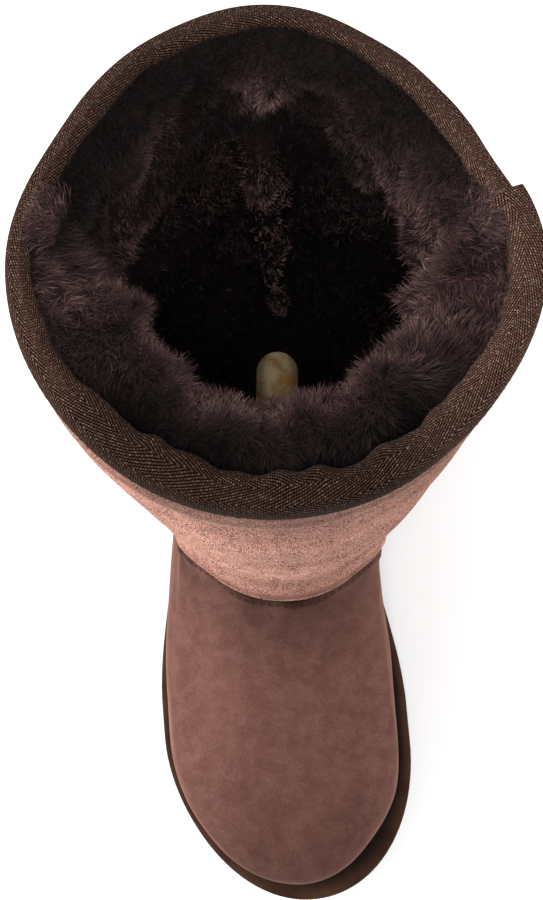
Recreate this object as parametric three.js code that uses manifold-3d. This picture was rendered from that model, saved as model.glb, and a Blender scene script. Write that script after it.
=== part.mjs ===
// A right-foot sheepskin boot: fleece-lined hide upper with a tall shaft, taped collar, heel counter,
// back stay, loose fleece insole and moulded outsole. Millimetres, +Z up, toe towards -Y, big-toe side
// towards +X. The origin lies on the ground under the middle of the boot.
import * as THREE from "three";
import { mergeVertices } from "three/addons/utils/BufferGeometryUtils.js";
import Module from "manifold-3d";

const wasm = await Module();
wasm.setup();

// Driving dimensions.
const SOLE_LENGTH = 264;
const SOLE_HALF = SOLE_LENGTH / 2;
const GAP = 0.3; // clearance between touching pieces
const COLLAR_HEIGHT = 320; // cut edge of the hide at the collar
const WALL = 12; // hide and standing fleece together
const COLLAR_WALL = 8; // hide and the fleece pressed flat under the tape
const COLLAR_EASE = 22; // height over which the fleece opens out again below the collar
const COLLAR_TAPE_DEPTH = 11;
const PRESSED_DEPTH = 12.5; // the fleece is flat from the edge to this far down
const TAPE = 1.2; // folded tape
const OVERLAY = 1.8; // counter and back stay leather
const COUNTER_HEIGHT = 82;
const STAY_WIDTH = 17;
const INSOLE = 7;
const FOREFOOT_THICKNESS = 16;
const HEEL_THICKNESS = 24;
const TOE_SPRING = 7;
const ARCH_LIFT = 3.5;

// Mesh density.
const AROUND = 52; // columns round the upper
const RISE = 26; // rows from the feather line to the collar
const SOLE_AROUND = 72;

// Sections of the hide's outer face, from the feather line up to the collar. Each is a loop through a
// rear point and a front point. The half widths are at the heel, waist and ball, the caps are the lengths
// of its round ends, foot is the share of the last's left or right shape, sag is the power that keeps the
// loop low along the foot before it climbs to its front point, and side moves it to the big-toe side.
const SECTION_COLUMNS = [
  "yBack",
  "zBack",
  "yFront",
  "zFront",
  "heel",
  "waist",
  "ball",
  "back",
  "front",
  "foot",
  "sag",
  "side",
];
const SECTIONS = [
  [126.5, 24.3, -122, 22, 38.5, 38.5, 45.4, 45, 55, 0.74, 1, 0],
  [129, 38, -124, 32, 40.5, 40.5, 46.2, 46, 55, 0.74, 1, 0],
  [129, 54, -120.3, 46, 40, 40.5, 44.9, 46, 55, 0.7, 1, 0],
  [127.5, 69, -108.5, 57.5, 39.5, 40.5, 43, 47, 55, 0.65, 1.1, 0],
  [125, 83, -88.6, 67, 39.5, 39.5, 40.6, 48, 57, 0.56, 1.2, 0],
  [122.5, 96, -66, 77.5, 40, 39, 38.5, 50, 58, 0.45, 1.3, 0],
  [120, 108, -43, 91, 41.5, 41.5, 38.5, 53, 58, 0.3, 1.3, 0.4],
  [118.5, 121, -23, 109, 44, 44.5, 42.3, 56, 58, 0.15, 1.2, 1],
  [118.5, 137, -11, 131, 48, 48.5, 48, 60, 60, 0.05, 1, 1.5],
  [119.5, 160, -4.5, 158, 50, 50, 50, 62, 62, 0, 1, 0.8],
  [122, 205, -6.5, 205, 57, 57, 57, 64, 64, 0, 1, 0.8],
  [127.5, 262, 1, 262, 66.5, 66.5, 66.5, 63, 63, 0, 1, -1.2],
  [135.5, COLLAR_HEIGHT, 4.5, COLLAR_HEIGHT, 65, 65, 65, 65.5, 65.5, 0, 1, 0],
].map((row) => Object.fromEntries(SECTION_COLUMNS.map((name, i) => [name, row[i]])));
// The soft collar is out of round: how far it stands out by direction, in degrees from the rear towards
// the big-toe side. The rows are evenly spaced, and the effect fades out down the shaft.
const OUT_OF_ROUND = [
  { towards: 0, out: 1 },
  { towards: 30, out: -3.6 },
  { towards: 60, out: -4.6 },
  { towards: 90, out: 1.2 },
  { towards: 120, out: 0.1 },
  { towards: 150, out: -0.6 },
  { towards: 180, out: -0.1 },
  { towards: 210, out: 0.6 },
  { towards: 240, out: 2.2 },
  { towards: 270, out: 3.4 },
  { towards: 300, out: -0.4 },
  { towards: 330, out: 0.4 },
];
const OUT_OF_ROUND_FROM = 215; // height where it starts
// Heel counter: its top edge seen from the side, from the back forward and down to the sole.
const COUNTER_FRONT = 50;
const COUNTER_EDGE = [
  { y: 108, z: COUNTER_HEIGHT },
  { y: 92, z: 78 },
  { y: 76, z: 68 },
  { y: 64, z: 53 },
  { y: 55, z: 36 },
];
const SOLE_PLAN = { heel: 41.8, waist: 43.5, ball: 51.4, back: 47, front: 64 };
// Tread grooves, the main lugs lying between them.
const GROOVE = { width: 3.2, depth: 2.2, pitch: 11, swing: 2.4, wave: 24 };
const GROOVE_RUNS = [
  { from: -106, to: -29, reach: (y) => (y < -90 ? 30 : 38) },
  { from: 62, to: 117, reach: (y) => (y > 105 ? 24 : 31) },
];
const WAIST_AT = 0.42; // shares of a loop's length from its rear point
const BALL_AT = 0.7;
const ARCH_HOLLOW = 4; // the big-toe side is hollowed at the waist
const TOE_SWING = 12.5; // the toe turns towards the big-toe side
const LITTLE_TOE_TRIM = 2;

const { clamp, lerp, smoothstep } = THREE.MathUtils;

// Catmull-Rom value between b and c.
function between(a, b, c, d, t) {
  return b + 0.5 * t * (c - a + t * (2 * a - 5 * b + 4 * c - d + t * (3 * (b - c) + d - a)));
}
// The value of one column at a place between the rows of a table.
function column(table, key, place) {
  const last = table.length - 1;
  const i = clamp(Math.floor(place), 0, last - 1);
  const [a, b, c, d] = [-1, 0, 1, 2].map((k) => table[clamp(i + k, 0, last)][key]);
  return between(a, b, c, d, place - i);
}
// How far the collar stands out at an angle round it.
function outOfRound(angle) {
  const n = OUT_OF_ROUND.length;
  const place = (angle / (2 * Math.PI)) * n;
  const i = Math.floor(place);
  const [a, b, c, d] = [-1, 0, 1, 2].map((k) => OUT_OF_ROUND[(i + k + n) % n].out);
  return between(a, b, c, d, place - i);
}

// Height of the face that the upper stands on, and of the ground face, along the sole.
function footbed(y) {
  const heel = (HEEL_THICKNESS - FOREFOOT_THICKNESS) * smoothstep(y, -40, 75);
  return FOREFOOT_THICKNESS + heel + TOE_SPRING * toeLift(y);
}
function toeLift(y) {
  return Math.pow(clamp((-70 - y) / (SOLE_HALF - 70), 0, 1), 1.8);
}
function groundFace(y) {
  const arch = smoothstep(y, -18, 12) * (1 - smoothstep(y, 36, 58));
  const heelRound = 1.5 * Math.pow(clamp((y - 112) / (SOLE_HALF - 112), 0, 1), 2);
  return ARCH_LIFT * arch + TOE_SPRING * toeLift(y) + heelRound;
}

function roundEnd(share) {
  return share >= 1 ? 1 : Math.sqrt(Math.max(0, 1 - (1 - share) ** 2));
}
// Half width at a share of a loop's length, between its heel, waist and ball widths.
function halfWidth(s, heel, waist, ball) {
  if (s < WAIST_AT) return lerp(heel, waist, smoothstep(s, 0.12, WAIST_AT));
  return lerp(waist, ball, smoothstep(s, WAIST_AT, BALL_AT));
}
// A loop in plan: angle 0 is the rear point, a quarter turn the big-toe side, and a half turn the front.
function planPoint(angle, { yBack, yFront, heel, waist, ball, back, front, foot }) {
  const s = (1 - Math.cos(angle)) / 2;
  const length = yBack - yFront;
  const ends = roundEnd((s * length) / back) * roundEnd(((1 - s) * length) / front);
  const medial = Math.sin(angle) >= 0;
  let half = halfWidth(s, heel, waist, ball);
  if (medial) half -= foot * ARCH_HOLLOW * Math.exp(-(((s - 0.43) / 0.14) ** 2));
  else half -= foot * LITTLE_TOE_TRIM * smoothstep(s, 0.75, 0.95);
  const swing = foot * TOE_SWING * Math.pow(clamp((s - 0.45) / 0.55, 0, 1), 1.6);
  return { x: (medial ? 1 : -1) * half * ends + swing, y: yBack - s * length, s };
}

// A point of the hide's outer face: angle round the loop, and rise from 0 at the feather line to 1.
function hideFace(angle, rise) {
  const place = rise * (SECTIONS.length - 1);
  const row = Object.fromEntries(SECTION_COLUMNS.map((name) => [name, column(SECTIONS, name, place)]));
  const p = planPoint(angle, row);
  const z = lerp(row.zBack, row.zFront, Math.pow(p.s, Math.max(1, row.sag)));
  // Low loops follow the curve of the footbed.
  const line = lerp(footbed(SECTIONS[0].yBack), footbed(SECTIONS[0].yFront), p.s);
  const follow = 1 - smoothstep(place, 0, 3);
  const middle = new THREE.Vector2(0, (row.yBack + row.yFront) / 2);
  const plan = new THREE.Vector2(p.x, p.y);
  const out = outOfRound(angle) * smoothstep(z, OUT_OF_ROUND_FROM, COLLAR_HEIGHT);
  plan.addScaledVector(plan.clone().sub(middle).normalize(), out);
  return new THREE.Vector3(plan.x + row.side, plan.y, z + follow * (footbed(p.y) + GAP - line));
}
function hideNormal(angle, rise) {
  const da = 0.01;
  const dr = 0.004;
  const low = Math.max(0, rise - dr);
  const high = Math.min(1, rise + dr);
  const around = hideFace(angle + da, rise).sub(hideFace(angle - da, rise));
  const up = hideFace(angle, high).sub(hideFace(angle, low));
  return up.cross(around).normalize();
}
// The outer face moved out along its normal, or in where offset is negative.
function offsetFace(angle, rise, offset) {
  return hideFace(angle, rise).addScaledVector(hideNormal(angle, rise), offset);
}
// Wall thickness: full fleece, easing to the pressed edge under the collar tape.
function wallAt(z) {
  return lerp(WALL, COLLAR_WALL, smoothstep(z, COLLAR_HEIGHT - COLLAR_EASE, COLLAR_HEIGHT - PRESSED_DEPTH));
}

// A closed body from loops of points: skins loop to loop, then closes over the first and last loop,
// or joins the last loop to the first when ring is true.
function bodyFromLoops(loops, ring = false) {
  const n = loops[0].length;
  const positions = loops.flat().flatMap((p) => [p.x, p.y, p.z]);
  const index = [];
  const quad = (a, b, c, d) => index.push(a, c, b, a, d, c);
  const rows = ring ? loops.length : loops.length - 1;
  for (let j = 0; j < rows; j++) {
    const next = ((j + 1) % loops.length) * n;
    for (let i = 0; i < n; i++) quad(j * n + i, j * n + ((i + 1) % n), next + ((i + 1) % n), next + i);
  }
  if (!ring) {
    const top = (loops.length - 1) * n;
    for (let i = 0; i < n / 2; i++) {
      const [a, b, c, d] = [i, i + 1, n - i - 1, (n - i) % n];
      if (i === 0) {
        index.push(a, b, c);
        index.push(top + a, top + c, top + b);
      } else if (i === n / 2 - 1) {
        index.push(a, b, d);
        index.push(top + a, top + d, top + b);
      } else {
        quad(a, d, c, b);
        quad(top + a, top + b, top + c, top + d);
      }
    }
  }
  const geometry = new THREE.BufferGeometry();
  geometry.setAttribute("position", new THREE.Float32BufferAttribute(positions, 3));
  geometry.setIndex(index);
  return geometry;
}

function solidOf(geometry) {
  const bare = geometry.clone();
  for (const name of Object.keys(bare.attributes)) if (name !== "position") bare.deleteAttribute(name);
  const merged = mergeVertices(bare, 1e-4);
  return new wasm.Manifold(
    new wasm.Mesh({
      numProp: 3,
      vertProperties: new Float32Array(merged.attributes.position.array),
      triVerts: new Uint32Array(merged.index.array),
    }),
  );
}
function geometryOf(solid) {
  const mesh = solid.getMesh();
  const geometry = new THREE.BufferGeometry();
  geometry.setAttribute("position", new THREE.BufferAttribute(mesh.vertProperties, mesh.numProp));
  geometry.setIndex(new THREE.BufferAttribute(mesh.triVerts, 1));
  return geometry;
}
// A flat outline in the Y-Z plane, extruded across the whole boot.
function sidePrism(points, halfDepth = 90) {
  const shape = new THREE.Shape(points.map(([y, z]) => new THREE.Vector2(y, z)));
  const prism = new THREE.ExtrudeGeometry(shape, { depth: 2 * halfDepth, bevelEnabled: false });
  prism.translate(0, 0, -halfDepth);
  // The shape's x, y and depth become the boot's Y, Z and X.
  const [x, y, z] = [[1, 0, 0], [0, 1, 0], [0, 0, 1]].map((axis) => new THREE.Vector3(...axis));
  prism.applyMatrix4(new THREE.Matrix4().makeBasis(y, z, x));
  return prism;
}

const angles = (n) => Array.from({ length: n }, (_, i) => (i / n) * 2 * Math.PI);
const evenly = (from, to, steps) => Array.from({ length: steps + 1 }, (_, i) => lerp(from, to, i / steps));

// The rise at which the back of the outer face reaches a height.
function riseAt(z) {
  let [low, high] = [0, 1];
  for (let i = 0; i < 30; i++) {
    const middle = (low + high) / 2;
    if (column(SECTIONS, "zBack", middle * (SECTIONS.length - 1)) < z) low = middle;
    else high = middle;
  }
  return (low + high) / 2;
}
// One row of the outer face lies at the lower edge of the tape.
const OUTER_RISES = [...evenly(0, riseAt(COLLAR_HEIGHT - COLLAR_TAPE_DEPTH), RISE - 1), 1];
// The fleece opens out just below the tape, so the inner face has closer rows there.
const INNER_RISES = [
  ...evenly(0, riseAt(COLLAR_HEIGHT - COLLAR_EASE), RISE - 2),
  ...[0.6, 0.3, 0].map((share) => riseAt(COLLAR_HEIGHT - lerp(PRESSED_DEPTH, COLLAR_EASE, share))),
  1,
];

// The upper: outer face up, over the collar edge, and down the fleece to the feather line.
function makeUpper() {
  const outer = OUTER_RISES.map((r) => angles(AROUND).map((a) => hideFace(a, r)));
  const inner = INNER_RISES.map((r) =>
    angles(AROUND).map((a) => {
      const p = offsetFace(a, r, -wallAt(hideFace(a, r).z));
      if (r === 1) p.z = COLLAR_HEIGHT;
      if (r === 0) p.z = footbed(p.y) + GAP;
      return p;
    }),
  );
  return bodyFromLoops([...outer, ...inner.reverse()], true);
}

// A solid of everything inside the outer face moved by offset, run on past both ends.
function form(offset, riseList) {
  const loops = riseList.map((r) => angles(AROUND).map((a) => offsetFace(a, r, offset)));
  const below = loops[0].map((p) => new THREE.Vector3(p.x, p.y, 0));
  const above = loops[loops.length - 1].map((p) => new THREE.Vector3(p.x, p.y, COLLAR_HEIGHT + 20));
  return solidOf(bodyFromLoops([below, ...loops, above]));
}

// The line that stands a height above the footbed, from one place along the boot to another.
function aboveFootbed(height, from, to, steps) {
  return evenly(from, to, steps).map((y) => [y, footbed(y) + height]);
}

// The leather that stands proud of the hide, trimmed to an outline seen from the side.
const hideForm = form(GAP, OUTER_RISES);
const overlayForm = form(GAP + OVERLAY, OUTER_RISES);
const overlayShell = overlayForm.subtract(hideForm);

function makeHeelCounter() {
  const outline = [
    ...aboveFootbed(2 * GAP, COUNTER_FRONT, SOLE_HALF + 10, 8),
    [SOLE_HALF + 10, COUNTER_HEIGHT],
    ...COUNTER_EDGE.map(({ y, z }) => [y, z]),
  ];
  return geometryOf(overlayShell.intersect(solidOf(sidePrism(outline))));
}

// The strip over the back seam, from the counter up to the collar tape.
function makeBackStay() {
  const height = COLLAR_HEIGHT - COLLAR_TAPE_DEPTH - COUNTER_HEIGHT - GAP;
  const block = new THREE.BoxGeometry(STAY_WIDTH, SOLE_HALF, height);
  block.translate(0, SOLE_HALF, COUNTER_HEIGHT + GAP + height / 2);
  return geometryOf(overlayShell.intersect(solidOf(block)));
}

// Tape folded over the collar edge: its section is a list of offsets from the hide's outer face and
// heights from the cut edge, up the outside, over the edge and down the inside.
function makeCollarTape() {
  const [out, inside] = [GAP + TAPE, -COLLAR_WALL - GAP - TAPE];
  const crown = TAPE + 2 * GAP;
  const section = [
    { offset: out, height: -COLLAR_TAPE_DEPTH },
    { offset: out, height: -1.5 },
    { offset: out - 0.8, height: crown - 0.7 },
    { offset: out - 2.4, height: crown },
    { offset: inside + 2.4, height: crown },
    { offset: inside + 0.8, height: crown - 0.7 },
    { offset: inside, height: -1.5 },
    { offset: inside, height: 1 - COLLAR_TAPE_DEPTH },
    { offset: inside + TAPE, height: 1 - COLLAR_TAPE_DEPTH },
    { offset: inside + TAPE, height: 2 * GAP },
    { offset: out - TAPE, height: 2 * GAP },
    { offset: out - TAPE, height: -COLLAR_TAPE_DEPTH },
  ];
  const loops = section.map(({ offset, height }) =>
    angles(AROUND).map((a) => {
      const rise = Math.min(1, riseAt(COLLAR_HEIGHT + height));
      return offsetFace(a, rise, offset).setZ(COLLAR_HEIGHT + height);
    }),
  );
  return bodyFromLoops(loops, true);
}

// The loose fleece footbed, a slice of the space inside the fleece.
function makeInsole() {
  const outline = [
    ...aboveFootbed(GAP, -SOLE_HALF, SOLE_HALF, 16),
    ...aboveFootbed(GAP + INSOLE, -SOLE_HALF, SOLE_HALF, 16).reverse(),
  ];
  const inside = form(-WALL - GAP, INNER_RISES);
  return geometryOf(inside.intersect(solidOf(sidePrism(outline))));
}

// The outsole: loops from the ground face up its side wall to the ledge that the upper stands on.
function soleLoop(inset, heightAt) {
  const { heel, waist, ball, back, front } = SOLE_PLAN;
  const widths = { heel: heel - inset, waist: waist - inset, ball: ball - inset };
  const row = { yBack: SOLE_HALF - inset, yFront: inset - SOLE_HALF, ...widths, back, front, foot: 1 };
  return angles(SOLE_AROUND).map((a) => {
    const p = planPoint(a, row);
    return new THREE.Vector3(p.x, p.y, heightAt(p.y));
  });
}
// A wavy groove across the ground face, as a block to cut away.
function grooveCutter(y, reach) {
  const steps = Math.max(4, Math.round((2 * reach) / (GROOVE.wave / 4)));
  const middle = (x) => y + GROOVE.swing * Math.cos((2 * Math.PI * x) / GROOVE.wave);
  const across = evenly(-reach, reach, steps);
  const edge = (aside) => across.map((x) => new THREE.Vector2(x, middle(x) + aside));
  const shape = new THREE.Shape([...edge(-GROOVE.width / 2), ...edge(GROOVE.width / 2).reverse()]);
  const below = 5; // the cutter starts clear of the ground face
  const block = new THREE.ExtrudeGeometry(shape, { depth: below + GROOVE.depth, bevelEnabled: false });
  block.translate(0, 0, groundFace(y) - below);
  return solidOf(block);
}
function makeOutsole() {
  const body = solidOf(
    bodyFromLoops([
      soleLoop(3.2, groundFace),
      soleLoop(0.9, (y) => groundFace(y) + 2.2),
      soleLoop(0, (y) => lerp(groundFace(y), footbed(y), 0.5)),
      soleLoop(0.5, (y) => footbed(y) - 1.6),
      soleLoop(1.8, footbed),
    ]),
  );
  let cut = body;
  for (const { from, to, reach } of GROOVE_RUNS) {
    const count = Math.round((to - from) / GROOVE.pitch);
    for (const y of evenly(from, to, count)) cut = cut.subtract(grooveCutter(y, reach(y)));
  }
  return geometryOf(cut);
}

const palette = {
  suede: new THREE.MeshStandardMaterial({ color: 0x7a5348, roughness: 0.95, metalness: 0 }),
  counter: new THREE.MeshStandardMaterial({ color: 0x6f4a40, roughness: 0.95, metalness: 0 }),
  tape: new THREE.MeshStandardMaterial({ color: 0x3f2a20, roughness: 0.8, metalness: 0 }),
  fleece: new THREE.MeshStandardMaterial({ color: 0xb89a6c, roughness: 1, metalness: 0 }),
  rubber: new THREE.MeshStandardMaterial({ color: 0x3a2318, roughness: 0.7, metalness: 0 }),
};
const boot = new THREE.Group();
function addPiece(name, geometry, material) {
  const mesh = new THREE.Mesh(geometry, material);
  mesh.name = name;
  boot.add(mesh);
}

addPiece("outsole", makeOutsole(), palette.rubber);
addPiece("insole", makeInsole(), palette.fleece);
addPiece("upper", makeUpper(), palette.suede);
addPiece("heel_counter", makeHeelCounter(), palette.counter);
addPiece("back_stay", makeBackStay(), palette.counter);
addPiece("collar_tape", makeCollarTape(), palette.tape);

// The collar leans out past the heel, so the pieces move until the origin is under the middle of them.
const middle = new THREE.Box3().setFromObject(boot).getCenter(new THREE.Vector3());
boot.position.set(-middle.x, -middle.y, 0);

export default boot;
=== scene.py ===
"""A right-foot sheepskin boot with a tall shaft, standing empty on its sole.

Suede vamp and shaft over a deep dark fleece, bound at the collar with folded
herringbone tape, with a heel counter, a back stay and a moulded outsole.
Shapes are worked out in millimetres in the boot's own frame: toe towards -Y,
big-toe side towards +X, ground at Z 0.
"""

import bpy
import numpy as np
from mathutils import Matrix, Vector


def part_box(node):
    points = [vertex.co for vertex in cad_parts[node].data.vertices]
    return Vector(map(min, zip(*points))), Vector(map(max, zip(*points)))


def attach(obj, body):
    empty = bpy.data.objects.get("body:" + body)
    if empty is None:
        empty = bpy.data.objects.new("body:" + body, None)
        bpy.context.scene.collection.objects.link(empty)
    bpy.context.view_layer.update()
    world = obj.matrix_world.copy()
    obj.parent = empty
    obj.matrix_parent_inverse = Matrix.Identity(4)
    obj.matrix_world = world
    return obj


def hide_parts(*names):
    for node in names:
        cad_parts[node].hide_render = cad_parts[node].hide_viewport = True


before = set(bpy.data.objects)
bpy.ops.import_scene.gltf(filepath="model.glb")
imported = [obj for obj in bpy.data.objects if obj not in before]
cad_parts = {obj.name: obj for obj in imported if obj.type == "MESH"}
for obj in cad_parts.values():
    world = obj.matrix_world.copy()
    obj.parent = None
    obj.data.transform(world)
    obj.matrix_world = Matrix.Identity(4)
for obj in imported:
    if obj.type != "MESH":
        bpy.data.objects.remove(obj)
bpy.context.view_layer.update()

MM = 0.001
TURN = 2 * np.pi

# --- The boot's own surfaces ---

COLLAR_HEIGHT = 320.0
SOLE_HALF = 264.0 / 2  # half the outsole's length

# Rows from the sole to the collar: where each ends at the rear and the front, the
# half widths, how long its round ends are, how much it has the foot's curve, how it
# sags between its ends, and how far it stands to the side.
COLUMNS = "y_back z_back y_front z_front heel waist ball back front foot sag side".split()
SECTIONS = np.array(
    [
        [126.5, 24.3, -122, 22, 38.5, 38.5, 46, 45, 55, 0.74, 1, -0.5],
        [129, 38, -124, 32, 40.5, 40.5, 46.8, 46, 55, 0.74, 1, -0.5],
        [129, 54, -120.3, 46, 40, 40.5, 45.5, 46, 55, 0.7, 1, -0.5],
        [127.5, 69, -108.5, 57.5, 39.5, 40.5, 43.5, 47, 55, 0.65, 1.1, -0.4],
        [125, 83, -88.6, 67, 39.5, 39.5, 41, 48, 57, 0.56, 1.2, -0.2],
        [122.5, 96, -66, 77.5, 40, 39, 38.5, 50, 58, 0.45, 1.3, 0],
        [120, 108, -43, 91, 41.5, 41.5, 38.5, 53, 58, 0.3, 1.3, 0.4],
        [118.5, 121, -23, 109, 44, 44.5, 42.3, 56, 58, 0.15, 1.2, 1],
        [118.5, 137, -11, 131, 48, 48.5, 48, 60, 60, 0.05, 1, 1.5],
        [119.5, 160, -4.5, 158, 50, 50, 50, 62, 62, 0, 1, 0.8],
        [122, 205, -6.5, 205, 57, 57, 57, 64, 64, 0, 1, 0.8],
        [127.5, 262, 1, 262, 66.5, 66.5, 66.5, 63, 63, 0, 1, -1.2],
        [135.5, COLLAR_HEIGHT, 4.5, COLLAR_HEIGHT, 65, 65, 65, 65.5, 65.5, 0, 1, 0],
    ]
)
LAST_ROW = len(SECTIONS) - 1
# How far the soft collar stands out every 30 degrees from the rear towards
# the big-toe side.
OUT_OF_ROUND = np.array([1, -3.6, -4.6, 1.2, 0.1, -0.6, -0.1, 0.6, 2.2, 3.4, -0.4, 0.4])
SOLE_PLAN = {"heel": 41.8, "waist": 43.5, "ball": 51.4, "back": 47.0, "front": 64.0}


def smooth(value, low, high):
    share = np.clip((value - low) / (high - low), 0.0, 1.0)
    return share * share * (3.0 - 2.0 * share)


def lerp(a, b, share):
    return a + (b - a) * share


def hump(distance, wide):
    return np.exp(-((distance / wide) ** 2))


def unit(vectors):
    return vectors / np.maximum(np.linalg.norm(vectors, axis=-1, keepdims=True), 1e-9)


def between(a, b, c, d, t):
    """A smooth curve from b to c, with a and d the points before and after."""
    return b + 0.5 * t * (c - a + t * (2 * a - 5 * b + 4 * c - d + t * (3 * (b - c) + d - a)))


def distance_along(line):
    return np.r_[0, np.cumsum(np.linalg.norm(np.diff(line, axis=0), axis=1))]


def spots_along(line, reach, want):
    return np.stack([np.interp(want, reach, column) for column in line.T], -1)


def turn_from(angle, towards=0.0):
    """How far an angle lies from a direction, at most half a turn either way."""
    return (angle - towards + np.pi) % TURN - np.pi


def forward(angle):
    """1 at the front of the boot, -1 at the rear."""
    return -np.cos(angle)


def matched(first, second):
    return np.broadcast_arrays(np.asarray(first, float), np.asarray(second, float))


def section_at(place):
    i = np.clip(np.floor(place).astype(int), 0, LAST_ROW - 1)
    rows = [SECTIONS[np.clip(i + k, 0, LAST_ROW)] for k in (-1, 0, 1, 2)]
    values = between(*rows, (place - i)[..., None])
    return {name: values[..., k] for k, name in enumerate(COLUMNS)}


def by_direction(table, angle):
    """A value given at even steps round the boot from the rear, smoothly joined."""
    place = angle / TURN * len(table)
    i = np.floor(place).astype(int)
    near = [table[(i + k) % len(table)] for k in (-1, 0, 1, 2)]
    return between(*near, place - i)


def toe_lift(y):
    return np.clip((-70 - y) / (SOLE_HALF - 70), 0, 1) ** 1.8


def footbed(y):
    return 16 + 8 * smooth(y, -40, 75) + 7 * toe_lift(y)


def ground_face(y):
    arch = smooth(y, -18, 12) * (1 - smooth(y, 36, 58))
    heel_round = 1.5 * np.clip((y - 112) / (SOLE_HALF - 112), 0, 1) ** 2
    return 3.5 * arch + 7 * toe_lift(y) + heel_round


def round_end(share):
    return np.sqrt(np.maximum(0, 1 - (1 - np.minimum(share, 1)) ** 2))


def plan(angle, row):
    """A loop seen from above: angle 0 at the rear, a quarter turn at the big-toe side."""
    s = (1 - np.cos(angle)) / 2
    length = row["y_back"] - row["y_front"]
    ends = round_end(s * length / row["back"]) * round_end((1 - s) * length / row["front"])
    medial = np.sin(angle) >= 0
    half = np.where(
        s < 0.42,
        lerp(row["heel"], row["waist"], smooth(s, 0.12, 0.42)),
        lerp(row["waist"], row["ball"], smooth(s, 0.42, 0.7)),
    )
    hollow = 4 * np.exp(-(((s - 0.43) / 0.14) ** 2))
    half = half - row["foot"] * np.where(medial, hollow, 2 * smooth(s, 0.75, 0.95))
    swing = row["foot"] * 12.5 * np.clip((s - 0.45) / 0.55, 0, 1) ** 1.6
    return np.where(medial, 1, -1) * half * ends + swing, row["y_back"] - s * length, s


def raw_hide(angle, rise):
    angle, rise = matched(angle, rise)
    place = rise * LAST_ROW
    row = section_at(place)
    x, y, s = plan(angle, row)
    z = lerp(row["z_back"], row["z_front"], s ** np.maximum(1, row["sag"]))
    line = lerp(footbed(SECTIONS[0, 0]), footbed(SECTIONS[0, 2]), s)
    follow = 1 - smooth(place, 0, 3)
    middle = (row["y_back"] + row["y_front"]) / 2
    # Over the big toe the hide draws in from the edge of the sole.
    big_toe = smooth(s, 0.84, 0.95) * np.clip(2 * np.sin(angle), 0, 1)
    x = x - 2.5 * big_toe * (1 - smooth(place, 3, 6))
    out = by_direction(OUT_OF_ROUND, angle % TURN) * smooth(z, 215, COLLAR_HEIGHT)
    away = np.maximum(np.hypot(x, y - middle), 1e-6)
    return np.stack(
        [
            x + x / away * out + row["side"],
            y + (y - middle) / away * out,
            z + follow * (footbed(y) + 0.3 - line),
        ],
        -1,
    )


def sole_loop(angle, inset):
    widths = {key: SOLE_PLAN[key] - inset for key in ("heel", "waist", "ball")}
    ends = {"y_back": SOLE_HALF - inset, "y_front": inset - SOLE_HALF}
    row = dict(SOLE_PLAN, **widths, **ends, foot=1.0)
    x, y, _ = plan(angle, row)
    return x, y


# The frame's origin lies under the middle of the whole boot, so the surfaces
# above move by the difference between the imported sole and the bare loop.
sole_low, sole_high = (np.array(corner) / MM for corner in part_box("outsole"))
bare_x, bare_y = sole_loop(np.arange(72) / 72 * TURN, 0.0)
SHIFT = np.array(
    [
        (sole_low[0] + sole_high[0] - bare_x.min() - bare_x.max()) / 2,
        (sole_low[1] + sole_high[1] - bare_y.min() - bare_y.max()) / 2,
        0.0,
    ]
)


def hide(angle, rise):
    return raw_hide(angle, rise) + SHIFT


def outward(angle, rise):
    angle, rise = matched(angle, rise)
    around = raw_hide(angle + 0.01, rise) - raw_hide(angle - 0.01, rise)
    above, under = np.minimum(1, rise + 0.004), np.maximum(0, rise - 0.004)
    up = raw_hide(angle, above) - raw_hide(angle, under)
    return unit(np.cross(up, around))


def on_hide(angle, rise, lift):
    return hide(angle, rise) + outward(angle, rise) * np.asarray(lift, float)[..., None]


def rise_at(angle, z):
    angle, z = matched(angle, z)
    low, high = np.zeros(z.shape), np.ones(z.shape)
    for _ in range(22):
        middle = (low + high) / 2
        under = raw_hide(angle, middle)[..., 2] < z
        low, high = np.where(under, middle, low), np.where(under, high, middle)
    return (low + high) / 2


def soft_noise(points, size, seed, waves=16):
    """A smooth random field of about unit spread, with lumps of the given size in mm."""
    rng = np.random.default_rng(seed)
    directions = unit(rng.normal(size=(waves, 3))) * rng.uniform(0.6, 1.3, (waves, 1))
    phases = rng.uniform(0, TURN, waves)
    total = np.zeros(points.shape[:-1])
    for direction, phase in zip(directions, phases):
        total += np.sin(points @ direction * (np.pi / size) + phase)
    return total * np.sqrt(2 / waves)


def sheet_noise(across, along, size, seed):
    return soft_noise(np.stack([across, along, 0 * along], -1), size, seed)


# --- Making pieces ---


def clear():
    bpy.ops.object.select_all(action="DESELECT")


def pick(*pieces):
    clear()
    for piece in pieces:
        piece.select_set(True)
    bpy.context.view_layer.objects.active = pieces[0]


def points_of(piece):
    flat = np.empty(len(piece.data.vertices) * 3, np.float32)
    piece.data.vertices.foreach_get("co", flat)
    return flat.reshape(-1, 3).astype(float)


def shape(piece, points):
    piece.data.vertices.foreach_set("co", (points * MM).astype(np.float32).ravel())
    piece.data.update()


def grid(name, across, up):
    """A sheet of quads, and each corner's share across and up it."""
    clear()
    bpy.ops.mesh.primitive_grid_add(x_subdivisions=across, y_subdivisions=up, size=1)
    piece = bpy.context.object
    piece.name = piece.data.name = name
    share = np.clip(points_of(piece) + 0.5, 0, 1)
    return piece, share[:, 0], share[:, 1]


def ring(name, around, across):
    """A sheet that closes both ways once welded, and each corner's steps round it and across."""
    piece, u, v = grid(name, around, across)
    round_step = np.round(u * around).astype(int) % around
    section_step = np.round(v * across).astype(int) % across
    return piece, round_step, section_step


def modify(piece, kind, **settings):
    pick(piece)
    modifier = piece.modifiers.new(kind.title(), kind)
    for key, value in settings.items():
        setattr(modifier, key, value)
    bpy.ops.object.modifier_apply(modifier=modifier.name)


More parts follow.
